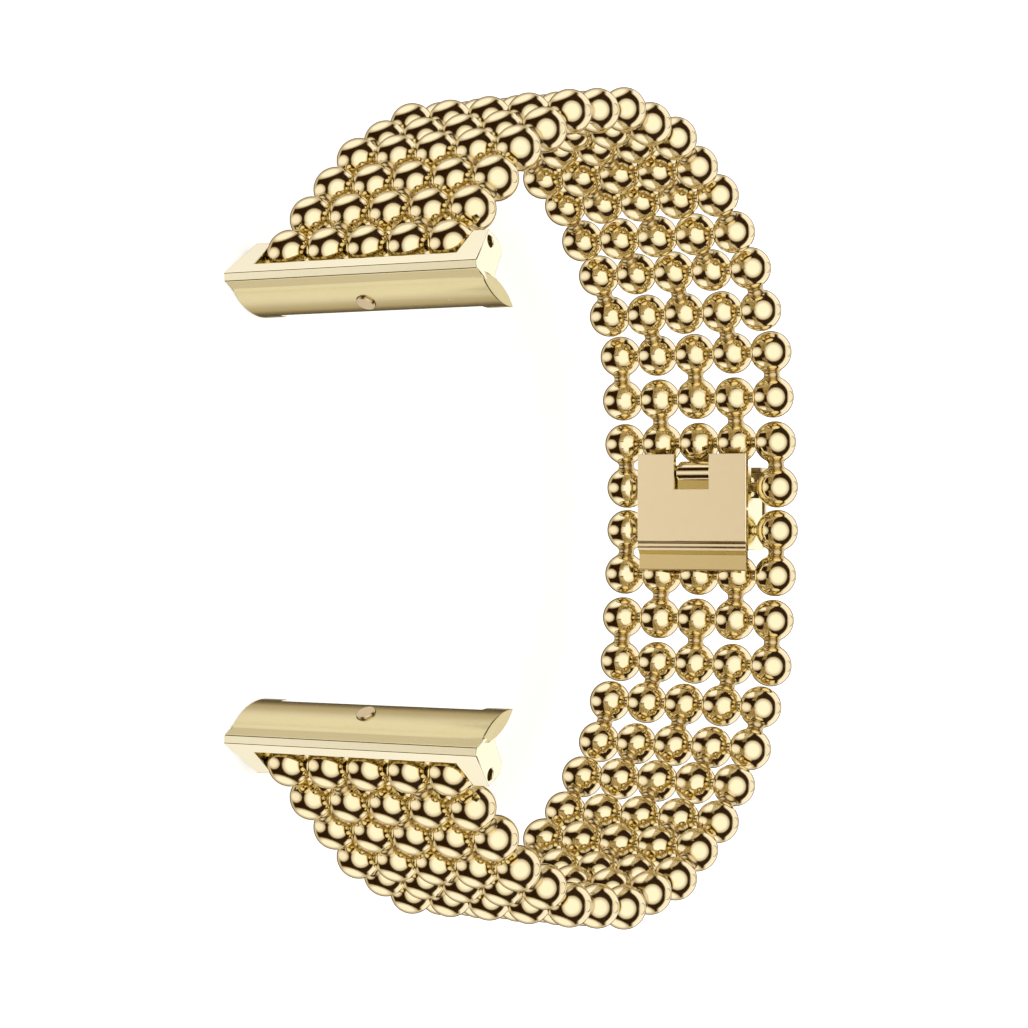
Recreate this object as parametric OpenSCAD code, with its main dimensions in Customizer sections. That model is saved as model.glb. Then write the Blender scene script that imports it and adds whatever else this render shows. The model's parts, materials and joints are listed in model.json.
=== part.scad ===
// Bead bracelet with two slide-in lugs and a fold-over hook clasp.
// The closed loop lies on its side: the rows of beads stand upright along Z,
// the clasp is at +Y and the two lugs are at -Y.

/* [Beads] */
// Diameter of one bead
bead_d = 4.3; // [4:0.05:4.45]
// Distance from one row of beads to the next along the bracelet
row_pitch = 4.65; // [4.6:0.05:5.2]
// Distance between neighbouring beads of one row
column_pitch = 4.63; // [4.6:0.05:5.2]
// Diameter of the neck that joins the two beads of a link
neck_d = 1.8; // [1.6:0.1:2.4]

/* [Pins] */
// Diameter of the pin through each row
pin_d = 1; // [0.8:0.1:1.2]
// Radial play between a pin and its bores
pin_play = 0.05; // [0.03:0.01:0.08]
// How far a pin's end stays inside the outermost bead's pole
pin_inset = 0.1; // [0.05:0.05:0.3]

/* [Lugs] */
// Width of a lug at its foot
lug_foot_w = 29; // [28:0.5:32]
// Width of a lug at the tips of its ears
lug_ear_w = 26.4; // [26:0.2:28]
// Play between the outermost bead and the ear beside it
ear_play = 0.2; // [0.1:0.05:0.4]
// How far the ear's front edge reaches past the pin
ear_front = 0.75; // [0.7:0.05:0.9]
// Radius of the ear's round back corner
ear_r = 0.9; // [0.8:0.05:1]
// How far the middle of the round corner lies past the pin
ear_rise = 0.6; // [0.5:0.05:0.7]
// How far each end of the lug's pin lies inside the ear
lug_pin_inset = 0.8; // [0.2:0.1:1]
// Slope of the lug's front face against the line from clasp to lugs
lug_slope = 40; // [36:1:44]
// Distance from the pin to the lug's front face
lug_face = 0.79; // [0.7:0.01:0.9]
// Distance from the pin down to the upper edge of the lug's bar
bar_drop = 2.55; // [2.5:0.05:2.8]
// Height of the bar's front face
bar_h = 1.25; // [1:0.05:1.5]
// Height of the slope below the bar's front face
foot_h = 0.4; // [0.3:0.05:0.5]
// Depth of the slope below the bar's front face
foot_depth = 0.7; // [0.6:0.05:0.8]
// Depth of the foot's back, behind the front face
heel_depth = 2; // [1.9:0.05:2.1]
// Depth of the ear's back, behind the front face
ear_depth = 2.95; // [2.8:0.05:3]

/* [Slide tongue] */
// Length of the slide tongue
tongue_l = 28.8; // [27:0.2:31]
// Depth of the tongue's lens-shaped section
tongue_depth = 5.7; // [5:0.1:6.2]
// Thickness of the tongue's section
tongue_t = 1.5; // [1.4:0.1:1.8]
// Angle of the tongue's section against the lug's front face
tongue_tilt = -70.6; // [-76:0.2:-66]
// Distance from the pin down to the tongue's middle
tongue_drop = 2.85; // [2.7:0.05:3]
// Distance from the pin back to the tongue's middle
tongue_back = 3.2; // [3.1:0.05:3.3]
// Distance from the pin down to the lower end of the web that joins ear and tongue
web_drop = 1.9; // [1.8:0.05:2]
// Depth of the web's lower end, behind the front face
web_depth = 3.94; // [3.8:0.02:4]
// Distance from the pin down to the upper end of the web
web_top = 1.8; // [1.7:0.05:1.9]
// Depth of the web's upper end, behind the front face
web_top_depth = 3.15; // [3:0.05:3.3]

/* [Tongue latch] */
// Diameter of the latch's nose
latch_nose_d = 1.8; // [1.4:0.1:2]
// Diameter of the latch's flange inside the tongue
latch_flange_d = 2.5; // [2.3:0.1:2.6]
// Thickness of the latch's flange
latch_flange_t = 0.25; // [0.2:0.05:0.3]
// How far the latch stands out and can be pressed in
latch_travel = 0.3; // [0.2:0.05:0.35]
// Play round the latch
latch_play = 0.05; // [0.03:0.01:0.08]

/* [Clasp base] */
// Distance between the last rows of the two strands at the clasp
clasp_gap = 4.5; // [4.5:0.05:4.8]
// How far the clasp sits off the middle of the rows
clasp_shift = 0.9; // [0:0.05:0.9]
// How far the sole plate's edge stands out past each side wall
sole_edge = 0.75; // [0.5:0.05:1]
// Thickness of the sole plate
sole_t = 0.5; // [0.4:0.05:0.6]
// Room between the beads' inner side and the sole plate
sole_play = 0.75; // [0.75:0.05:0.9]
// Reach of the sole plate from the clasp's middle towards the catch strand
sole_up = 5.7; // [5.2:0.1:6]
// Reach of the sole plate from the clasp's middle towards the cover strand
sole_down = 3.35; // [3:0.05:3.6]
// Reach of the lip from the clasp's middle
lip_reach = 6.4; // [6:0.1:6.6]
// How much the lip is narrower than the sole plate at each end
lip_inset = 0.1; // [0.1:0.1:0.8]
// Thickness of the lip
lip_t = 0.4; // [0.3:0.05:0.45]
// Width of the window in the sole plate
window_w = 4.3; // [4:0.1:4.6]
// Distance from the clasp's middle to the window's closed edge
window_x = 2.05; // [1.8:0.05:2.2]
// Thickness of a side wall
wall_t = 0.5; // [0.4:0.05:0.6]
// Width over the two side walls
wall_w = 11.8; // [11.4:0.1:11.8]
// Diameter of the barrels round the last pins
barrel_d = 2.2; // [2:0.1:2.3]

/* [Hook and catch] */
// Diameter of the catch bar
catch_d = 1.3; // [1.1:0.1:1.4]
// Play between the catch bar and the hook
catch_play = 0.15; // [0.1:0.05:0.2]
// Thickness of the hook
hook_t = 0.4; // [0.3:0.05:0.45]
// Distance from the clasp's middle to the catch bar, along the bracelet
catch_x = 3.75; // [3.5:0.05:3.75]
// Distance from the rows to the catch bar, towards the wrist
catch_y = 1.95; // [1.9:0.05:1.95]
// Thickness of each arm that holds the catch bar
arm_t = 0.8; // [0.6:0.1:1]
// Side play between neighbouring parts of the clasp
side_play = 0.15; // [0.1:0.05:0.2]

/* [Cover] */
// Thickness of the fold-over cover
cover_t = 0.5; // [0.4:0.05:0.6]
// Reach of the cover from the clasp's middle towards the catch strand
cover_up = 4.3; // [4:0.05:4.35]
// Distance from the clasp's middle to the cover's hinge pin
hinge_x = 3.6; // [3.5:0.05:3.65]
// Distance from the rows to the cover's hinge pin
hinge_y = 1.45; // [1.4:0.05:1.55]
// Diameter of the cover's hinge pin
hinge_d = 0.7; // [0.6:0.05:0.75]
// Diameter of the cover's knuckle
knuckle_d = 1.2; // [1.15:0.05:1.25]

/* [Hidden] */
STRAND_ROWS = 19;
COLUMNS = 5;
LINKS = [for (k = [1:STRAND_ROWS - 1]) k];
SIDES = ["catch", "cover"];
function two_digits(k) = k < 10 ? str("0", k) : str(k);
function link_name(side, k) = str(side, "_links_", two_digits(k));

GOLD = "#d9b45b";
PALE_GOLD = "#efdca0";
SATIN_GOLD = "#d8bd80";
STEEL = "#b8b8b4";
ROUND = 48;
CUT = 0.01;

bead_r = bead_d / 2;
// A length that passes through any piece
through = lug_foot_w + 2 * bead_d;
pin_bore_d = pin_d + 2 * pin_play;
strap_half = (COLUMNS - 1) / 2 * column_pitch + bead_r;
pin_l = 2 * (strap_half - pin_inset);

// Headings of the links from the clasp to the lug, in degrees from +X,
// one value for each two links after the first
HEADINGS = [185, 185.5, 206, 222, 237.5, 258, 277, 296.5, 311, 316];
function heading(k) = HEADINGS[floor((STRAND_ROWS - k) / 2)];
function direction(a) = [cos(a), sin(a)];
// Place of row k of the catch strand, row 1 at the lug and row 19 at the clasp
function row_at(k) = k == STRAND_ROWS ? [-clasp_gap / 2, 0]
    : row_at(k + 1) + row_pitch * direction(heading(k));
function column_z(c) = (c - (COLUMNS + 1) / 2) * column_pitch;
// Links joined at odd rows lie in the even columns, and the others in the odd ones
function link_columns(k) = k == STRAND_ROWS - 1 ? [1, COLUMNS]
    : [for (c = [1:COLUMNS]) if ((c + k) % 2 == 1) c];

// A lug's own plane: first value along its face towards the beads, second outward
lug_turn = 90 + lug_slope;
function lug_place(p) = row_at(1) + p[0] * direction(lug_turn) + p[1] * direction(lug_turn + 90);
ear_centre = [ear_rise, lug_face - ear_depth + ear_r];
// Where a line from a point touches a circle
function touch(point, centre, r) = let (d = point - centre)
    centre + r * direction(atan2(d[1], d[0]) - acos(r / norm(d)));
lug_foot = -bar_drop - bar_h;
foot_corner = [lug_foot, lug_face];
foot_edge = [lug_foot - foot_h, lug_face - foot_depth];
ear_inner = strap_half + ear_play;
tongue_centre = [-tongue_drop, -tongue_back];
tongue_half = tongue_depth / 2;
tongue_r = (tongue_half * tongue_half + tongue_t * tongue_t / 4) / tongue_t;
latch_lip = 0.25;
latch_room = 0.9;
latch_top = tongue_t / 2 - latch_lip;
spring_h = latch_room - latch_flange_t - 2 * latch_play;
spring_wire = 0.2;

// The clasp's faces, counted from the rows outward in +Y
sole_in = -(bead_r + sole_play);
sole_out = sole_in - sole_t;
groove_w = 0.28;
groove_slope = 0.5;
rib_w = 0.28;
rib_gap = 0.16;
lip_step = 0.2;
rib_1 = sole_down + groove_w;
rib_2 = rib_1 + rib_w + rib_gap;
lip_start = rib_2 + rib_w + lip_step / groove_slope;
lip_out = sole_out + lip_step;
sole_w = wall_w + 2 * sole_edge;
wall_in = wall_w / 2 - wall_t;
wall_up = 4.4;
wall_step = 1.1;
hook_in_r = catch_d / 2 + catch_play;
hook_out_r = hook_in_r + hook_t;
hook_w = window_w - 2 * side_play;
hook_jaw = 0.2;
hook_stem = 0.6;
arm_in = window_w / 2 + 2 * side_play;
arm_w = 1.5;
boss_d = 1.6;
waist_d = 1.6;
cover_out = hinge_y + knuckle_d / 2;
cover_in = cover_out - cover_t;
cover_half = wall_w / 2;
knuckle_half = wall_in - side_play;
ear_pin_r = 0.7;
tab_t = 0.35;
tab_x = [-0.8, 0.6];
tab_y = 0.1;
lip_fold = 0.65;

// The whole bracelet stands on the feet of its lugs, with its middle over the origin
reach_back = lug_place(foot_corner)[1];
reach_front = bead_r;
lift = lug_foot_w / 2;
module placed() {
    translate([0, -(reach_back + reach_front) / 2, lift]) children();
}
module on_side(side) {
    placed() mirror([side == "cover" ? 1 : 0, 0, 0]) children();
}
module at_row(k) {
    translate([row_at(k)[0], row_at(k)[1], 0]) children();
}
module in_clasp() {
    placed() translate([0, 0, clasp_shift]) children();
}
module slab(half) {
    translate([0, 0, -half]) linear_extrude(height = 2 * half) children();
}
// A pair of plates, each from one distance to another off the middle
module pair(near, far) {
    for (z = [-far, near]) translate([0, 0, z]) linear_extrude(height = far - near) children();
}

// Beads, links and pins
module bore(d) {
    cylinder(d = d, h = through, center = true, $fn = ROUND);
}
module bead() {
    difference() {
        sphere(d = bead_d, $fn = ROUND);
        bore(pin_bore_d);
    }
}
module link() {
    difference() {
        union() {
            sphere(d = bead_d, $fn = ROUND);
            translate([row_pitch, 0, 0]) sphere(d = bead_d, $fn = ROUND);
            rotate([0, 90, 0]) cylinder(d = neck_d, h = row_pitch, $fn = ROUND);
        }
        bore(pin_bore_d);
        translate([row_pitch, 0, 0]) bore(pin_bore_d);
    }
}
module row_pin(l = pin_l) {
    cylinder(d = pin_d, h = l, center = true, $fn = ROUND);
}
module links(side, k) {
    on_side(side) {
        color(GOLD) {
            for (c = link_columns(k))
                at_row(k + 1) rotate([0, 0, heading(k)]) translate([0, 0, column_z(c)]) link();
            // The middle bead of the last full row has no partner, because the clasp is there
            if (k == STRAND_ROWS - 1)
                at_row(k) translate([0, 0, column_z((COLUMNS + 1) / 2)]) bead();
        }
        color(STEEL) {
            if (k > 1) at_row(k) row_pin();
            if (k == STRAND_ROWS - 1) at_row(STRAND_ROWS) row_pin();
        }
    }
}

// Lugs
module in_lug(side) {
    on_side(side) at_row(1) rotate([0, 0, lug_turn]) children();
}
module lug_section() {
    front = [ear_front, lug_face];
    translate(ear_centre) circle(r = ear_r, $fn = ROUND);
    polygon([
        front, foot_corner, foot_edge, [lug_foot, lug_face - heel_depth],
        [-web_drop, lug_face - web_depth], [-web_top, lug_face - web_top_depth],
        [ear_rise, lug_face - ear_depth], touch(front, ear_centre, ear_r)
    ]);
}
// Front view of the lug, which narrows from its foot to the tips of its ears
module lug_taper() {
    tip = ear_rise + ear_r;
    foot_half = lug_foot_w / 2;
    ear_half = lug_ear_w / 2;
    polygon([
        [2 * lug_foot, -foot_half], [lug_foot, -foot_half], [tip, -ear_half], [2 * tip, -ear_half],
        [2 * tip, ear_half], [tip, ear_half], [lug_foot, foot_half], [2 * lug_foot, foot_half]
    ]);
}
module tongue_section() {
    translate(tongue_centre) rotate(tongue_tilt) intersection() {
        translate([0, tongue_r - tongue_t / 2]) circle(r = tongue_r, $fn = 2 * ROUND);
        translate([0, tongue_t / 2 - tongue_r]) circle(r = tongue_r, $fn = 2 * ROUND);
    }
}
module in_tongue(side) {
    in_lug(side) translate([tongue_centre[0], tongue_centre[1], 0])
        rotate([0, 0, tongue_tilt]) rotate([90, 0, 0]) children();
}
module latch_pocket() {
    translate([0, 0, latch_top - latch_room])
        cylinder(d = latch_flange_d + 2 * latch_play, h = latch_room, $fn = ROUND);
    translate([0, 0, latch_top - CUT])
        cylinder(d = latch_nose_d + 2 * latch_play, h = tongue_t, $fn = ROUND);
}
module lug(side) {
    color(PALE_GOLD) difference() {
        in_lug(side) difference() {
            union() {
                intersection() {
                    slab(lug_foot_w / 2) lug_section();
                    rotate([90, 0, 0]) translate([0, 0, -through / 2]) linear_extrude(height = through)
                        lug_taper();
                }
                slab(tongue_l / 2) tongue_section();
            }
            slab(ear_inner) translate([-bar_drop, -through / 2]) square(through);
            bore(pin_bore_d);
        }
        in_tongue(side) latch_pocket();
    }
}
module lug_pin(side) {
    color(STEEL) on_side(side) at_row(1) row_pin(lug_ear_w - 2 * lug_pin_inset);
}
module lug_beads(side) {
    color(GOLD) on_side(side) at_row(1)
        for (c = [1:2:COLUMNS]) translate([0, 0, column_z(c)]) bead();
}
module latch(side) {
    color(STEEL) in_tongue(side) {
        translate([0, 0, latch_top - latch_play - latch_flange_t])
            cylinder(d = latch_flange_d, h = latch_flange_t, $fn = ROUND);
        translate([0, 0, latch_top - latch_play - latch_flange_t])
            cylinder(d = latch_nose_d, h = latch_flange_t + latch_lip + latch_travel, $fn = ROUND);
    }
}
module latch_spring(side) {
    color(STEEL) in_tongue(side)
        translate([0, 0, latch_top - latch_room]) difference() {
            cylinder(d = latch_nose_d, h = spring_h, $fn = ROUND);
            translate([0, 0, -CUT])
                cylinder(d = latch_nose_d - 2 * spring_wire, h = spring_h + 2 * CUT, $fn = ROUND);
        }
}

// Clasp base: sole plate with its window, side walls, barrel and lip
module sole_section() {
    polygon([
        [-sole_up, sole_in], [-sole_up, sole_out],
        [sole_down, sole_out], [sole_down + groove_w / 2, sole_out + groove_slope * groove_w / 2],
        [rib_1, sole_out], [rib_1 + rib_w, sole_out],
        [rib_1 + rib_w + rib_gap / 2, sole_out + groove_slope * rib_gap / 2],
        [rib_2, sole_out], [rib_2 + rib_w, sole_out],
        [rib_2 + rib_w, lip_out + lip_t], [rib_2, sole_in]
    ]);
}
module lip_section() {
    polygon([
        [rib_2 + CUT, sole_out], [rib_2 + rib_w, sole_out], [lip_start, lip_out], [lip_reach, lip_out],
        [lip_reach, lip_out + lip_t], [lip_start - rib_w, lip_out + lip_t], [rib_2 + CUT, sole_in]
    ]);
}
module wall_section() {
    polygon([
        [-wall_up, sole_in - CUT], [-wall_up, -wall_step], [-wall_step, -wall_step],
        [-wall_step, wall_step], [hinge_x, wall_step], [hinge_x + ear_pin_r, hinge_y],
        [hinge_x + ear_pin_r, 0], [rib_2, sole_in - CUT]
    ]);
    translate([hinge_x, hinge_y]) circle(r = ear_pin_r, $fn = ROUND);
}
module clasp_base() {
    color(SATIN_GOLD) in_clasp() difference() {
        union() {
            slab(sole_w / 2) sole_section();
            slab(sole_w / 2 - lip_inset) lip_section();
            pair(wall_in, wall_in + wall_t) wall_section();
            translate([clasp_gap / 2, 0, 0]) slab(wall_in + CUT) circle(d = barrel_d, $fn = ROUND);
        }
        slab(window_w / 2) translate([-through - window_x, sole_out - 1]) square([through, sole_t + 2]);
        translate([clasp_gap / 2, 0, 0]) bore(pin_bore_d);
        translate([hinge_x, hinge_y, 0]) bore(hinge_d + 2 * pin_play);
    }
}

// Hook that holds the catch bar against the pull of the bracelet
module clasp_hook() {
    color(GOLD) in_clasp() slab(hook_w / 2) {
        translate([-catch_x, -catch_y]) difference() {
            circle(r = hook_out_r, $fn = ROUND);
            circle(r = hook_in_r, $fn = ROUND);
            translate([-through / 2, 0]) square(through);
        }
        translate([-catch_x - hook_out_r, -catch_y - CUT]) square([hook_t, hook_jaw + CUT]);
        difference() {
            translate([-catch_x + hook_in_r / 2, sole_in])
                square([catch_x - hook_in_r / 2 - window_x + hook_in_r, hook_stem]);
            translate([-catch_x, -catch_y]) circle(r = hook_in_r, $fn = ROUND);
        }
    }
}

// Frame at the end of the catch strand, and the bar that the hook holds
module catch_frame() {
    arm = [catch_x - clasp_gap / 2, catch_y];
    color(GOLD) in_clasp() translate([-clasp_gap / 2, 0, 0]) difference() {
        union() {
            slab(knuckle_half) circle(d = waist_d, $fn = ROUND);
            pair(arm_in, knuckle_half) circle(d = barrel_d, $fn = ROUND);
            pair(arm_in, arm_in + arm_t) {
                rotate(180 + atan2(arm[1], arm[0])) translate([0, -arm_w / 2]) square([norm(arm), arm_w]);
                translate([-arm[0], -arm[1]]) circle(d = boss_d, $fn = ROUND);
            }
        }
        bore(pin_bore_d);
        translate([-arm[0], -arm[1], 0]) bore(catch_d + pin_play);
    }
}
module catch_bar() {
    color(GOLD) in_clasp() translate([-catch_x, -catch_y, 0])
        cylinder(d = catch_d, h = 2 * (arm_in + arm_t), center = true, $fn = ROUND);
}

// Fold-over cover on the outer side, its snap tabs and its hinge pin
module clasp_cover() {
    color(GOLD) in_clasp() difference() {
        union() {
            slab(cover_half) translate([-cover_up, cover_in])
                square([cover_up + hinge_x - ear_pin_r - side_play, cover_t]);
            slab(knuckle_half) translate([-cover_up, cover_in]) square([cover_up + hinge_x, cover_t]);
            slab(cover_half) translate([-cover_up, cover_out - cover_t - lip_fold])
                square([cover_t, lip_fold + CUT]);
            translate([hinge_x, hinge_y, 0]) slab(knuckle_half) circle(d = knuckle_d, $fn = ROUND);
            pair(knuckle_half - tab_t, knuckle_half) translate([tab_x[0], tab_y])
                square([tab_x[1] - tab_x[0], cover_in - tab_y + CUT]);
        }
        translate([hinge_x, hinge_y, 0]) bore(hinge_d + 2 * pin_play);
    }
}
module cover_pin() {
    color(STEEL) in_clasp() translate([hinge_x, hinge_y, 0])
        cylinder(d = hinge_d, h = wall_w, center = true, $fn = ROUND);
}

clasp_base();
clasp_hook();
clasp_cover();
cover_pin();
catch_frame();
catch_bar();
for (side = SIDES) {
    for (k = LINKS) links(side, k);
    lug(side);
    lug_pin(side);
    lug_beads(side);
    latch(side);
    latch_spring(side);
}
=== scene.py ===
import json
import math

import bmesh
import bpy
from mathutils import Matrix, Vector


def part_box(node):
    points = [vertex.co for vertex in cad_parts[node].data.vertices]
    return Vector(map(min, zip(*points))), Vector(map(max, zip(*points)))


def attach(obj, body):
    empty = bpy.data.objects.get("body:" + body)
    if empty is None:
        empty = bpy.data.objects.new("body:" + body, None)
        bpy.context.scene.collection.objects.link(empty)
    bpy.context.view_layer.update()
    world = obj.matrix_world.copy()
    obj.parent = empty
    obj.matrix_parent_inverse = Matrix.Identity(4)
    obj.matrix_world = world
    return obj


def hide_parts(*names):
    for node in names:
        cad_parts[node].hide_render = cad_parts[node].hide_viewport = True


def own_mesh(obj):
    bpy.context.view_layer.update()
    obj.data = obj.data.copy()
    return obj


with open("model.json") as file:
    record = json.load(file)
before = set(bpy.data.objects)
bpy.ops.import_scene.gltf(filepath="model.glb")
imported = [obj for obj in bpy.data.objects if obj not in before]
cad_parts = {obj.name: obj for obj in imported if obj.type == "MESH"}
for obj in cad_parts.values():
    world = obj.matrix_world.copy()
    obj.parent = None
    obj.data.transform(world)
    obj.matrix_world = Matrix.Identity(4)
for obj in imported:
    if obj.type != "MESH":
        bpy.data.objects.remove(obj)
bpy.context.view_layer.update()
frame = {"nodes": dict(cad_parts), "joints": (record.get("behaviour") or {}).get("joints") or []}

MM = 0.001
SIDES = ("catch", "cover")
ROWS = 19
COLUMNS = 5
JOINTS = {joint["name"]: joint for joint in frame["joints"]}

# Beads, necks and pins
BEAD_R = 2.15 * MM
COLUMN_PITCH = 4.63 * MM
BORE_R = 0.55 * MM
RIM = 0.04 * MM
RIM_BEND = (0.3, 0.1)
NECK_R = 0.8 * MM
NECK_FILLET = 0.5 * MM
NECK_ROOT = (0.98, 0.94)
PIN_R = 0.53 * MM
PIN_DOME = 0.04 * MM
PIN_PROFILE = ((0.35, 0), (0.8, 0.25), (1, 1))
PIN_INSET = 0.07 * MM
STRAP_HALF = (COLUMNS - 1) / 2 * COLUMN_PITCH + BEAD_R

# Lugs, latches and their springs, with angles in degrees
LUG_TURN = 130
TONGUE_TILT = -70.6
TONGUE_MIDDLE = (-2.85 * MM, -3.2 * MM)
TONGUE_DEPTH = 5.7 * MM
TONGUE_T = 1.5 * MM
TONGUE_SPARE = 0.05 * MM
LATCH_HOLE_R = 1.4 * MM
SPRING_H = 0.55 * MM
SPRING_R = 0.9 * MM
SPRING_W = 0.35 * MM
SPRING_STRIP = 0.1 * MM
SPRING_WAVES = 3

# Places on the clasp base and the hook
PLATE_Y = 25.4 * MM
PLATE_END = 22.05 * MM
LIP_Y = 25.6 * MM
LIP_END = 6.4 * MM
LIP_SLOPE = 4.4 * MM
STEM_START = -3 * MM
LONG_EDGE = 5 * MM
NEAR = 0.01 * MM

# How much of a face's normal lies along an axis
SQUARE = 0.99
UPRIGHT = 0.9
LEANING = 0.3

# Rounding of sharp edges; no edge gets more than WIDEST times its width
LUG_EDGE = 0.09 * MM
LUG_PIN_EDGE = 0.06 * MM
LATCH_EDGE = 0.08 * MM
BASE_EDGE = 0.03 * MM
HOOK_EDGE = 0.06 * MM
CLASP_EDGE = 0.1 * MM
BAR_EDGE = 0.12 * MM
WIDEST = 4
WELD = 0.001 * MM

# Angles in degrees: an edge below FLAT goes, and one above a crease stays sharp or is rounded
FLAT = 0.5
BASE_CREASE = 20
EDGE_CREASE = 30
PIN_CREASE = 35
RING_CREASE = 40
BEAD_CREASE = 50

# Steps of the meshes
BEAD_STEPS = 56
BEAD_ARC_STEPS = 30
NECK_STEPS = 40
FLARE_STEPS = 8
PIN_STEPS = 32
SPRING_STEPS = 72
EDGE_STEPS = 3


# Places
def row_place(side, row):
    return Vector(JOINTS[f"{side}_row_{row:02d}"]["pos_m"])


def column_z(column):
    return (column - (COLUMNS + 1) / 2) * COLUMN_PITCH


def lug_middle_z():
    low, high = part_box("catch_lug")
    return (low[2] + high[2]) / 2


def on_row(side, row, lift=0):
    """Moves a shape to a row's axis, lift above the middle of the strap."""
    spot = row_place(side, row)
    return Matrix.Translation(Vector((spot.x, spot.y, lug_middle_z() + lift)))


def node_middle(node):
    low, high = (Vector(corner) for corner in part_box(node))
    return (low + high) / 2


def latch_axis(side):
    """The way a latch goes as it is pressed in."""
    return Vector(JOINTS[f"{side}_latch_press"]["axis"])


def lug_plane(side, spot):
    """A place in a lug's own plane: along its face towards the beads, and outward."""
    sign = 1 if side == "catch" else -1
    away = spot - row_place(side, 1)
    turn = math.radians(LUG_TURN)
    x, y = sign * away.x, away.y
    return x * math.cos(turn) + y * math.sin(turn), -x * math.sin(turn) + y * math.cos(turn)


# Mesh tools
def new_object(name, verts, faces):
    mesh = bpy.data.meshes.new(name)
    mesh.from_pydata([tuple(v) for v in verts], [], faces)
    mesh.validate()
    shell = bmesh.new()
    shell.from_mesh(mesh)
    bmesh.ops.recalc_face_normals(shell, faces=shell.faces)
    shell.to_mesh(mesh)
    shell.free()
    piece = bpy.data.objects.new(name, mesh)
    bpy.context.scene.collection.objects.link(piece)
    return piece


def smooth(piece, crease):
    mesh = piece.data
    mesh.polygons.foreach_set("use_smooth", [True] * len(mesh.polygons))
    mesh.set_sharp_from_angle(angle=math.radians(crease))


def around(radius, turn, height):
    return Vector((radius * math.cos(turn), radius * math.sin(turn), height))


def band(count, steps, closed):
    """The faces of a line of count points that stands at each step of a circle."""
    faces = []
    for i in range(steps):
        j = (i + 1) % steps
        for a in range(count if closed else count - 1):
            b = (a + 1) % count
            faces.append((i * count + a, j * count + a, j * count + b, i * count + b))
    return faces


def turned(profile, steps, closed):
    """A line of (radius, height) points turned about Z: a closed ring, or open with flat ends."""
    count = len(profile)
    verts = []
    for i in range(steps):
        turn = 2 * math.pi * i / steps
        verts += [around(radius, turn, height) for radius, height in profile]
    faces = band(count, steps, closed)
    if not closed:
        faces.append([i * count for i in range(steps)])
        faces.append([i * count + count - 1 for i in range(steps)])
    return verts, faces


def arc(centre, radius, start, end, steps):
    points = []
    for i in range(steps + 1):
        turn = math.radians(start + (end - start) * i / steps)
        points.append((centre[0] + radius * math.cos(turn), centre[1] + radius * math.sin(turn)))
    return points


def joined(parts):
    """One list of points and one of faces out of several (verts, faces, matrix)."""
    verts = []
    faces = []
    for part_verts, part_faces, matrix in parts:
        start = len(verts)
        verts += [matrix @ v for v in part_verts]
        faces += [tuple(start + i for i in face) for face in part_faces]
    return verts, faces


def dress(piece, paint, body, node):
    """Gives a piece its finish and puts it in the place of a node."""
    piece.data.materials.clear()
    piece.data.materials.append(paint)
    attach(piece, body)
    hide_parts(node)


# Beads and pins
def bead_shape():
    """A ball with its bore along Z and a small rounded rim at each mouth."""
    mouth = math.degrees(math.acos((BORE_R + RIM) / BEAD_R))
    profile = arc((0, 0), BEAD_R, -mouth, mouth, BEAD_ARC_STEPS)
    top = profile[-1][1]
    bend = BORE_R + RIM * RIM_BEND[0]
    profile += [(bend, top + RIM * RIM_BEND[1]), (BORE_R, top - RIM)]
    profile += [(BORE_R, -top + RIM), (bend, -top - RIM * RIM_BEND[1])]
    return turned(profile, BEAD_STEPS, closed=True)


def neck_shape(pitch):
    """The waist between two balls, along X, flared into each ball."""
    out = NECK_R + NECK_FILLET
    reach = math.sqrt((BEAD_R + NECK_FILLET) ** 2 - out ** 2)
    touch = math.degrees(math.atan2(-reach, -out))
    flare = arc((out, reach), NECK_FILLET, touch, -180, FLARE_STEPS)
    inside_ball = (flare[0][0] * NECK_ROOT[0], flare[0][1] * NECK_ROOT[1])
    half = [inside_ball] + flare
    profile = half + [(r, pitch - h) for r, h in reversed(half)]
    verts, faces = turned(profile, NECK_STEPS, closed=False)
    quarter = Matrix.Rotation(math.radians(90), 4, "Y")
    return [quarter @ v for v in verts], faces


def pin_shape(half):
    """A pin along Z with slightly domed ends."""
    profile = [(r * PIN_R, -half + h * PIN_DOME) for r, h in PIN_PROFILE]
    profile += [(r, -h) for r, h in reversed(profile)]
    return turned(profile, PIN_STEPS, closed=False)


def link_columns(row):
    """The columns that have a link between this row and the next one."""
    if row == ROWS - 1:
        return [1, COLUMNS]
    return [c for c in range(1, COLUMNS + 1) if (c + row) % 2 == 1]


def pinned_rows(row):
    """The rows whose pins are fixed in this row's course. The first row's pin is the lug's."""
    rows = [row] if row > 1 else []
    if row == ROWS - 1:
        rows.append(ROWS)
    return rows


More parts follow.
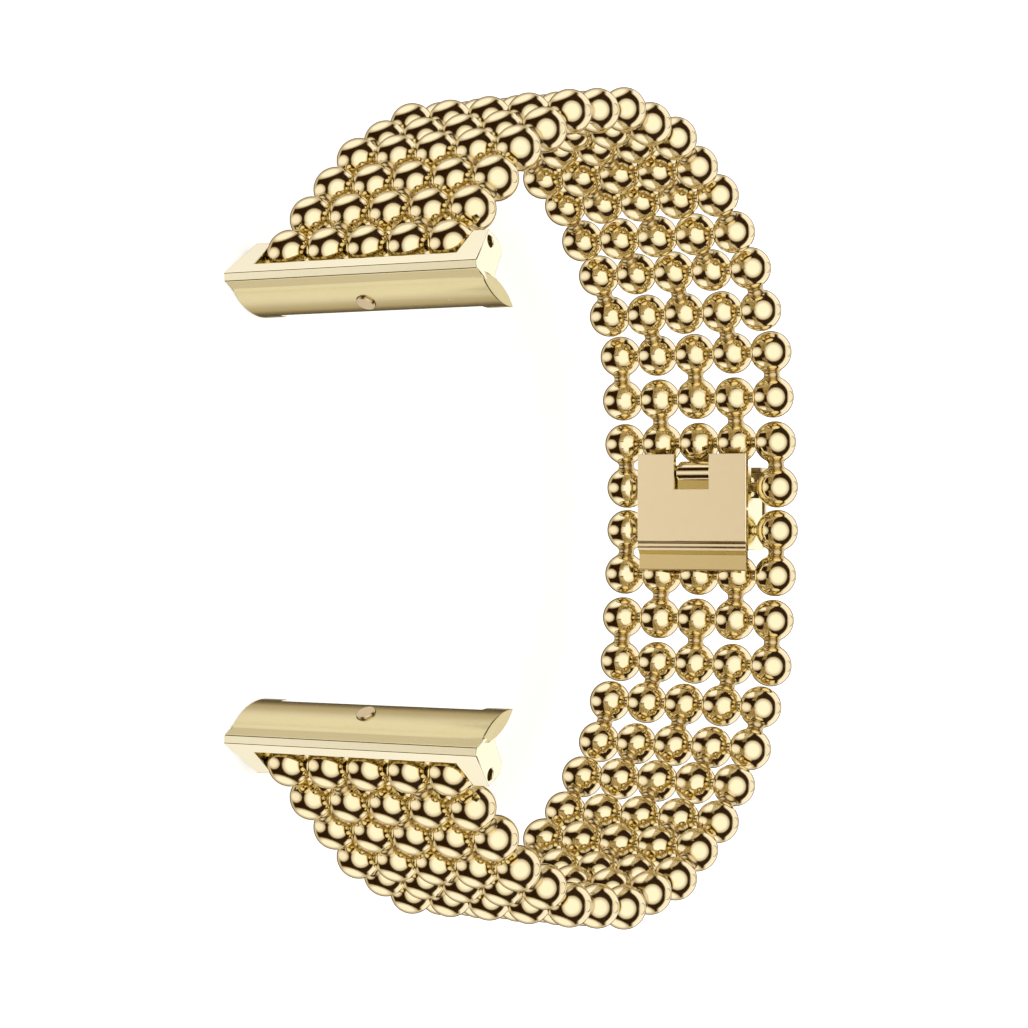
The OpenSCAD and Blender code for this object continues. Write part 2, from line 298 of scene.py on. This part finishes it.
def course(side, row):
    """The links between this row and the next one, with their pins."""
    name = f"{side}_links_{row:02d}"
    near = row_place(side, row + 1)
    far = row_place(side, row)
    step = far - near
    turn = Matrix.Rotation(math.atan2(step.y, step.x), 4, "Z")
    bead = bead_shape()
    neck = neck_shape(step.length)
    balls = []
    necks = []
    for column in link_columns(row):
        lift = Vector((0, 0, lug_middle_z() - near.z + column_z(column)))
        balls.append((*bead, Matrix.Translation(near + lift) @ turn))
        balls.append((*bead, Matrix.Translation(far + lift) @ turn))
        necks.append((*neck, Matrix.Translation(near + lift) @ turn))
    if row == ROWS - 1:
        balls.append((*bead, on_row(side, row)))
    beads = new_object(name + "_beads", *joined(balls + necks))
    smooth(beads, BEAD_CREASE)
    dress(beads, GOLD, name, name)
    # The necks, the faces after the balls', get the darker gold: painted shade between the balls
    beads.data.materials.append(NECK_SHADE_GOLD)
    ball_faces = sum(len(faces) for verts, faces, matrix in balls)
    for face in beads.data.polygons[ball_faces:]:
        face.material_index = 1
    shape = pin_shape(STRAP_HALF - PIN_INSET)
    pins = [(*shape, on_row(side, pinned)) for pinned in pinned_rows(row)]
    if pins:
        pin = new_object(name + "_pins", *joined(pins))
        smooth(pin, PIN_CREASE)
        dress(pin, CROSS_PIN, name, name)


def lug_beads(side):
    """The single balls on the lug's pin, in every other column."""
    name = f"{side}_lug_beads"
    bead = bead_shape()
    balls = [(*bead, on_row(side, 1, column_z(column))) for column in range(1, COLUMNS + 1, 2)]
    beads = new_object(name + "_balls", *joined(balls))
    smooth(beads, BEAD_CREASE)
    dress(beads, GOLD, f"{side}_lug", name)


# The latches' springs
def wave_spring(side):
    """A flat ring bent into waves, stood along the way the latch is pressed in."""
    name = f"{side}_latch_spring"
    middle = node_middle(name)
    press = latch_axis(side)
    swing = (SPRING_H - SPRING_STRIP) / 2
    inner, half = SPRING_R - SPRING_W, SPRING_STRIP / 2
    section = ((inner, -half), (SPRING_R, -half), (SPRING_R, half), (inner, half))
    verts = []
    for i in range(SPRING_STEPS):
        turn = 2 * math.pi * i / SPRING_STEPS
        wave = swing * math.cos(SPRING_WAVES * turn)
        verts += [around(radius, turn, wave + height) for radius, height in section]
    faces = band(len(section), SPRING_STEPS, closed=True)
    stand = Matrix.Translation(middle) @ press.to_track_quat("Z", "Y").to_matrix().to_4x4()
    ring = new_object(name + "_ring", [stand @ v for v in verts], faces)
    smooth(ring, RING_CREASE)
    dress(ring, PIN_METAL, f"{side}_lug", name)
    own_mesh(ring)


# Solids with rounded edges
def rounded(name, body, width, paint, crease=EDGE_CREASE, times=None):
    """A node's solid with its flat faces joined up and its sharp edges rounded.

    times, where given, says from an edge's two ends how many times the width it gets.
    """
    mesh = frame["nodes"][name].data.copy()
    shell = bmesh.new()
    shell.from_mesh(mesh)
    bmesh.ops.remove_doubles(shell, verts=shell.verts, dist=WELD)
    bmesh.ops.dissolve_degenerate(shell, dist=WELD, edges=shell.edges)
    bmesh.ops.dissolve_limit(
        shell, angle_limit=math.radians(FLAT), verts=shell.verts, edges=shell.edges,
    )
    shell.normal_update()
    share = shell.edges.layers.float.new("bevel_weight_edge")
    for edge in shell.edges:
        edge.smooth = edge.calc_face_angle(0) <= math.radians(crease)
        if not edge.smooth:
            edge[share] = (times(*(v.co for v in edge.verts)) if times else 1) / WIDEST
    for face in shell.faces:
        face.smooth = True
    shell.to_mesh(mesh)
    shell.free()
    if "custom_normal" in mesh.attributes:
        mesh.attributes.remove(mesh.attributes["custom_normal"])
    piece = bpy.data.objects.new(name + "_body", mesh)
    bpy.context.scene.collection.objects.link(piece)
    edges = piece.modifiers.new("rounded edges", "BEVEL")
    edges.width = WIDEST * width
    edges.segments = EDGE_STEPS
    edges.limit_method = "WEIGHT"
    edges.use_clamp_overlap = False
    flats = piece.modifiers.new("flat faces", "WEIGHTED_NORMAL")
    flats.keep_sharp = True
    dress(piece, paint, body, name)
    return piece


def lug_rounding(side):
    """Rounds a lug's edges alike, but leaves the mouth of the latch's hole sharp."""
    middle = node_middle(f"{side}_latch")
    press = latch_axis(side)

    def times(one, other):
        at_hole = all((v - middle).cross(press).length < LATCH_HOLE_R for v in (one, other))
        return 0 if at_hole else 1

    return times


def plate_rounding(one, other):
    """Rounds the sole plate's upper long edge and the lip's free edge the most."""
    ends = (one, other)
    rim = all(abs(v.y - PLATE_Y) < NEAR and abs(v.z - PLATE_END) < NEAR for v in ends)
    lip = all(abs(v.y - LIP_Y) < NEAR and abs(v.x - LIP_END) < NEAR for v in ends)
    return WIDEST if (rim or lip) and (one - other).length > LONG_EDGE else 1


# Faces painted a tone of their own, all of them painted shade or painted light, picked by their
# middle and their normal
def painted(piece, paint, where):
    piece.data.materials.append(paint)
    for face in piece.data.polygons:
        if where(face.center, face.normal):
            face.material_index = len(piece.data.materials) - 1


def on_tongue(side):
    """Picks the faces of a lug's slide tongue."""
    turn = math.radians(TONGUE_TILT)

    def where(spot, normal):
        along, outward = lug_plane(side, spot)
        u, v = along - TONGUE_MIDDLE[0], outward - TONGUE_MIDDLE[1]
        length = u * math.cos(turn) + v * math.sin(turn)
        height = v * math.cos(turn) - u * math.sin(turn)
        return abs(length) < TONGUE_DEPTH / 2 and abs(height) < TONGUE_T / 2 + TONGUE_SPARE

    return where


def in_groove(spot, normal):
    return normal.y < -LEANING and abs(normal.x) > LEANING


def on_side_wall(spot, normal):
    return abs(normal.z) > UPRIGHT


def on_lip(spot, normal):
    return normal.y < -SQUARE and abs(spot.y - LIP_Y) < NEAR


def on_lip_slope(spot, normal):
    return normal.x > LEANING and spot.x > LIP_SLOPE and PLATE_Y < spot.y < LIP_Y


def on_hook_stem(spot, normal):
    return normal.y < -SQUARE and spot.x > STEM_START


# Materials
CLOUD_SCALE = 180
CLOUD_DETAIL = 3
SCRATCH_SCALE = 2500
SCRATCH_DETAIL = 4
SCRATCH_DEPTH = 0.01 * MM


def material(name, colour, metallic, roughness):
    made = bpy.data.materials.new(name)
    made.use_nodes = True
    shader = made.node_tree.nodes["Principled BSDF"]
    shader.inputs["Base Color"].default_value = (*colour, 1)
    shader.inputs["Metallic"].default_value = metallic
    shader.inputs["Roughness"].default_value = roughness
    return made, made.node_tree, shader


def noise(tree, place, scale, detail):
    made = tree.nodes.new("ShaderNodeTexNoise")
    made.inputs["Scale"].default_value = scale
    made.inputs["Detail"].default_value = detail
    tree.links.new(place, made.inputs["Vector"])
    return made.outputs["Fac"]


def gold(name, light, deep, rough_low, rough_high, scratch):
    """A gold between two colours and two values of roughness, with fine scratches."""
    made, tree, shader = material(name, light, 1, rough_low)
    nodes, links = tree.nodes, tree.links
    place = nodes.new("ShaderNodeTexCoord").outputs["Object"]
    cloud = noise(tree, place, CLOUD_SCALE, CLOUD_DETAIL)
    fine = noise(tree, place, SCRATCH_SCALE, SCRATCH_DETAIL)
    tint = nodes.new("ShaderNodeMix")
    tint.data_type = "RGBA"
    tint.inputs[6].default_value = (*light, 1)
    tint.inputs[7].default_value = (*deep, 1)
    links.new(cloud, tint.inputs[0])
    links.new(tint.outputs[2], shader.inputs["Base Color"])
    span = nodes.new("ShaderNodeMapRange")
    span.inputs["To Min"].default_value = rough_low
    span.inputs["To Max"].default_value = rough_high
    links.new(fine, span.inputs["Value"])
    links.new(span.outputs["Result"], shader.inputs["Roughness"])
    bump = nodes.new("ShaderNodeBump")
    bump.inputs["Strength"].default_value = scratch
    bump.inputs["Distance"].default_value = SCRATCH_DEPTH
    links.new(fine, bump.inputs["Height"])
    links.new(bump.outputs["Normal"], shader.inputs["Normal"])
    return made


# Each line: name, lighter and deeper colour, lowest and highest roughness, strength of scratches
GOLD = gold("bead_gold", (0.86, 0.745, 0.45), (0.83, 0.705, 0.39), 0.09, 0.13, 0.15)
# The necks' gold is painted darker as painted shade of the crevice between the balls, and made
# rougher to dull their highlight
NECK_SHADE_GOLD = gold("neck_painted_shade", (0.66, 0.52, 0.25), (0.58, 0.44, 0.20), 0.22, 0.32, 0.3)
POLISH = gold("polished_gold", (0.86, 0.745, 0.45), (0.83, 0.705, 0.39), 0.1, 0.15, 0.15)
# A paler gold than the beads': a painted highlight for the bright light on the lugs' faces and on
# the clasp's side walls
LUG_GOLD_PAINTED_LIGHT = gold("lug_gold", (0.93, 0.86, 0.57), (0.91, 0.84, 0.54), 0.1, 0.16, 0.15)
# A darker gold for the lug's slide tongue: painted shade
TONGUE_SHADE_GOLD = gold("tongue_painted_shade", (0.66, 0.575, 0.295), (0.62, 0.535, 0.265), 0.20, 0.30, 0.3)
SATIN = gold("satin_plate", (0.92, 0.77, 0.46), (0.90, 0.745, 0.435), 0.26, 0.32, 0.2)
# A dark gold for the walls of the plate's grooves: painted shade in the creases
GROOVE_SHADE_GOLD = gold("groove_painted_shade", (0.60, 0.47, 0.22), (0.55, 0.42, 0.19), 0.05, 0.1, 0.1)
# A darker gold for the lip, which lies a step below the plate: painted shade
LIP_SHADE_GOLD = gold("lip_painted_shade", (0.64, 0.49, 0.21), (0.61, 0.46, 0.19), 0.16, 0.24, 0.2)
# A warmer, deeper gold for the slope down to the lip: painted light, for how light falls on that
# tilted face
SLOPE_LIGHT_GOLD = gold("slope_painted_light", (0.98, 0.74, 0.20), (0.95, 0.71, 0.18), 0.4, 0.5, 0.2)
SHADE_GOLD = gold("shade_gold", (0.47, 0.34, 0.10), (0.43, 0.30, 0.08), 0.12, 0.2, 0.3)
COVER_GOLD = gold("cover_gold", (0.80, 0.68, 0.40), (0.77, 0.65, 0.37), 0.3, 0.4, 0.3)
PIN_METAL = gold("pin_steel", (0.80, 0.68, 0.42), (0.70, 0.58, 0.36), 0.18, 0.3, 0.3)
# The lug pin is painted near black: painted shade of the hole in the ear where its end sits
LUG_PIN_SHADE = gold("lug_pin", (0.12, 0.09, 0.05), (0.09, 0.065, 0.035), 0.3, 0.4, 0.3)
CROSS_PIN = gold("cross_pin", (0.84, 0.72, 0.42), (0.78, 0.66, 0.36), 0.15, 0.25, 0.3)

# The bracelet
for side in SIDES:
    for row in range(1, ROWS):
        course(side, row)
    lug_beads(side)
    lug = f"{side}_lug"
    # The lug body gets the paler gold, a painted highlight
    body = rounded(lug, lug, LUG_EDGE, LUG_GOLD_PAINTED_LIGHT, times=lug_rounding(side))
    # The tongue's faces are painted in the darker gold, as painted shade
    painted(body, TONGUE_SHADE_GOLD, on_tongue(side))
    # The lug pin in its near-black paint, as painted shade in the ear's hole
    rounded(f"{side}_lug_pin", lug, LUG_PIN_EDGE, LUG_PIN_SHADE)
    rounded(f"{side}_latch", f"{side}_latch", LATCH_EDGE, PIN_METAL)
    wave_spring(side)
base = rounded("clasp_base", "clasp", BASE_EDGE, SATIN, BASE_CREASE, plate_rounding)
# The groove walls are painted dark, as painted shade
painted(base, GROOVE_SHADE_GOLD, in_groove)
# The clasp base's side walls get the smoother, paler lug gold: the smoothness is a polish, the
# paleness a painted highlight of the bright light they reflect
painted(base, LUG_GOLD_PAINTED_LIGHT, on_side_wall)
# The recessed lip is painted darker than the plate, as painted shade
painted(base, LIP_SHADE_GOLD, on_lip)
# The slope down to the lip gets its own painted light
painted(base, SLOPE_LIGHT_GOLD, on_lip_slope)
hook = rounded("clasp_hook", "clasp", HOOK_EDGE, POLISH)
painted(hook, SHADE_GOLD, on_hook_stem)
rounded("cover_pin", "clasp", CLASP_EDGE, PIN_METAL)
rounded("clasp_cover", "cover", CLASP_EDGE, COVER_GOLD)
rounded("catch_frame", "catch", CLASP_EDGE, POLISH)
rounded("catch_bar", "catch", BAR_EDGE, POLISH)

# Studio: directions to the photograph's right, to its top and to its camera
TILT = math.radians(35.535)
RIGHT = Vector((0, math.sin(TILT), math.cos(TILT)))
UP = Vector((-1, 0, 0))
BACK = Vector((0, -math.cos(TILT), math.sin(TILT)))

# The camera's place from the middle of the clasp, and its lens for the photograph's own pixels
PITCH = 4.65 * MM
CAMERA_BACK = 74.275 * PITCH
CAMERA_RIGHT = -4.2196 * PITCH
CAMERA_UP = -0.1164 * PITCH
FOCAL_PIXELS = 3295.0
PHOTO_PIXELS = 1028
SENSOR = 36
CLIP = (0.01, 10)

# Lamps as a polished ball mirrors them: 1 is the ball's radius, and turns are in degrees
LENS_LAMP = dict(half=(0.54, 0.18), core=1.4, rim=0.5, inside=0.75, fade=0.35)
LAMPS = (
    dict(centre=(0.1, -0.02), half=(0.43, 0.45), turn=0, core=1.45, rim=0.7),
    dict(LENS_LAMP, centre=(-0.27, 0.7), turn=20),
    dict(LENS_LAMP, centre=(-0.27, -0.7), turn=-20),
    dict(centre=(-0.72, 0), half=(0.27, 0.24), turn=0, core=1.27, rim=0.5, inside=0.75, fade=0.4),
)
LAMP_SOFT = 0.07
HOLLOW = dict(centre=(-0.07, 0), half=(0.79, 0.79), soft=0.04)
CRESCENT = dict(start=0.28, end=0.42, high=1.3)
RING_FROM = dict(start=0.84, end=0.9)
RING_LIGHT = dict(start=0.6, end=0.3, high=0.62)
OUTLINE = dict(start=0.975, end=0.935)
BEHIND = dict(start=-0.945, end=-0.985, high=0.8)
TINY = 1e-5

# Colours of the mirrored light, from dark to bright
DARK = (0.028, 0.011, 0.003, 1)
HALF_LIGHT = (0.70, 0.60, 0.46, 1)
HALF_LIGHT_AT = 0.62
BRIGHT = (0.92, 0.895, 0.97, 1)
WHITE = (1, 1, 1, 1)

# Floor
FLOOR_HALF = 3
FLOOR_COLOUR = (0.98, 0.98, 0.98)
FLOOR_ROUGHNESS = 0.9
FLOOR_LIFT = 0.4


def camera():
    rows = [row_place(side, ROWS) for side in SIDES]
    clasp = (rows[0] + rows[1]) / 2
    clasp.z = lug_middle_z()
    lens = bpy.data.cameras.new("camera")
    lens.lens = FOCAL_PIXELS / PHOTO_PIXELS * SENSOR
    lens.sensor_width = SENSOR
    lens.sensor_fit = "HORIZONTAL"
    lens.clip_start, lens.clip_end = CLIP
    eye = bpy.data.objects.new("camera", lens)
    turn = Matrix((RIGHT, UP, BACK)).transposed().to_4x4()
    spot = clasp + RIGHT * CAMERA_RIGHT + UP * CAMERA_UP + BACK * CAMERA_BACK
    eye.matrix_world = Matrix.Translation(spot) @ turn
    bpy.context.scene.collection.objects.link(eye)
    bpy.context.scene.camera = eye


class Sums:
    """Short names for the math nodes of a node tree."""

    def __init__(self, tree):
        self.tree = tree

    def calc(self, operation, *values):
        node = self.tree.nodes.new("ShaderNodeMath")
        node.operation = operation
        for socket, value in zip(node.inputs, values):
            if isinstance(value, (int, float)):
                socket.default_value = value
            else:
                self.tree.links.new(value, socket)
        return node.outputs[0]

    def along(self, vector, axis):
        node = self.tree.nodes.new("ShaderNodeVectorMath")
        node.operation = "DOT_PRODUCT"
        node.inputs[1].default_value = axis
        self.tree.links.new(vector, node.inputs[0])
        return node.outputs["Value"]

    def blend(self, x, a, y, b):
        """x times a, and y times b added to it."""
        return self.calc("ADD", self.calc("MULTIPLY", x, a), self.calc("MULTIPLY", y, b))

    def length(self, x, y):
        return self.calc("SQRT", self.blend(x, x, y, y))

    def step(self, value, start, end, low=0.0, high=1.0):
        """low before start, high beyond end, smooth between them; end may be the smaller."""
        node = self.tree.nodes.new("ShaderNodeMapRange")
        node.interpolation_type = "SMOOTHSTEP"
        if start > end:
            start, end, low, high = end, start, high, low
        node.inputs["From Min"].default_value = start
        node.inputs["From Max"].default_value = end
        node.inputs["To Min"].default_value = low
        node.inputs["To Max"].default_value = high
        self.tree.links.new(value, node.inputs["Value"])
        return node.outputs["Result"]

    def ellipse(self, x, y, centre, half, turn=0.0, soft=0.1):
        """1 inside an ellipse, 0 outside it."""
        c, s = math.cos(math.radians(turn)), math.sin(math.radians(turn))
        dx = self.calc("SUBTRACT", x, centre[0])
        dy = self.calc("SUBTRACT", y, centre[1])
        u = self.blend(dx, c / half[0], dy, s / half[0])
        v = self.blend(dx, -s / half[1], dy, c / half[1])
        return self.step(self.length(u, v), 1 + soft, 1 - soft)

    def glow(self, x, y, centre, half, turn, core, rim, inside=0.8, fade=0.3):
        """A lamp's soft shape: core strength in its middle, rim strength at its edge."""
        shape = self.ellipse(x, y, centre, half, turn, LAMP_SOFT)
        inner = self.ellipse(x, y, centre, [inside * h for h in half], turn, fade)
        strength = self.calc("ADD", rim, self.calc("MULTIPLY", inner, core - rim))
        return self.calc("MULTIPLY", shape, strength)


def studio():
    """The light, laid out as it shows in a polished ball: x to its right, y to its top."""
    world = bpy.data.worlds.new("studio")
    bpy.context.scene.world = world
    world.use_nodes = True
    tree = world.node_tree
    nodes, links = tree.nodes, tree.links
    nodes.clear()
    sums = Sums(tree)
    place = nodes.new("ShaderNodeTexCoord").outputs["Generated"]
    back = sums.along(place, BACK)
    twice = sums.calc("MULTIPLY", sums.calc("ADD", back, 1), 2)
    depth = sums.calc("SQRT", sums.calc("MAXIMUM", twice, TINY))
    x = sums.calc("DIVIDE", sums.along(place, RIGHT), depth)
    y = sums.calc("DIVIDE", sums.along(place, UP), depth)
    radius = sums.length(x, y)

    lamps = [sums.glow(x, y, **lamp) for lamp in LAMPS]
    outside = sums.calc("SUBTRACT", 1, sums.ellipse(x, y, **HOLLOW))
    crescent = sums.calc("MULTIPLY", outside, sums.step(x, **CRESCENT))
    ring = sums.calc("MULTIPLY", sums.step(radius, **RING_FROM), sums.step(x, **RING_LIGHT))
    light = lamps[0]
    for other in lamps[1:] + [crescent, ring]:
        light = sums.calc("MAXIMUM", light, other)
    light = sums.calc("MULTIPLY", light, sums.step(radius, **OUTLINE))
    light = sums.calc("MAXIMUM", light, sums.step(back, **BEHIND))

    tone = nodes.new("ShaderNodeValToRGB")
    tone.color_ramp.elements[0].color = DARK
    tone.color_ramp.elements[1].color = BRIGHT
    tone.color_ramp.elements.new(HALF_LIGHT_AT).color = HALF_LIGHT
    links.new(light, tone.inputs[0])
    mirrored = nodes.new("ShaderNodeBackground")
    links.new(tone.outputs[0], mirrored.inputs["Color"])
    links.new(sums.calc("MAXIMUM", light, 1), mirrored.inputs["Strength"])
    plain = nodes.new("ShaderNodeBackground")
    plain.inputs["Color"].default_value = WHITE
    plain.inputs["Strength"].default_value = 1.0
    path = nodes.new("ShaderNodeLightPath")
    pick = nodes.new("ShaderNodeMixShader")
    links.new(path.outputs["Is Glossy Ray"], pick.inputs[0])
    links.new(plain.outputs[0], pick.inputs[1])
    links.new(mirrored.outputs[0], pick.inputs[2])
    out = nodes.new("ShaderNodeOutputWorld")
    links.new(pick.outputs[0], out.inputs["Surface"])


def floor():
    """A pale floor, a little lighter for the camera alone, so that its shadows stay."""
    size = FLOOR_HALF
    corners = [(-size, -size, 0), (size, -size, 0), (size, size, 0), (-size, size, 0)]
    piece = new_object("floor", corners, [(0, 1, 2, 3)])
    made, tree, shader = material("floor_white", FLOOR_COLOUR, 0, FLOOR_ROUGHNESS)
    shader.inputs["Specular IOR Level"].default_value = 0
    shader.inputs["Emission Color"].default_value = WHITE
    path = tree.nodes.new("ShaderNodeLightPath")
    lift = Sums(tree).calc("MULTIPLY", path.outputs["Is Camera Ray"], FLOOR_LIFT)
    tree.links.new(lift, shader.inputs["Emission Strength"])
    piece.data.materials.append(made)
    piece.visible_glossy = False


camera()
studio()
floor()
bpy.context.scene.view_settings.view_transform = "Standard"
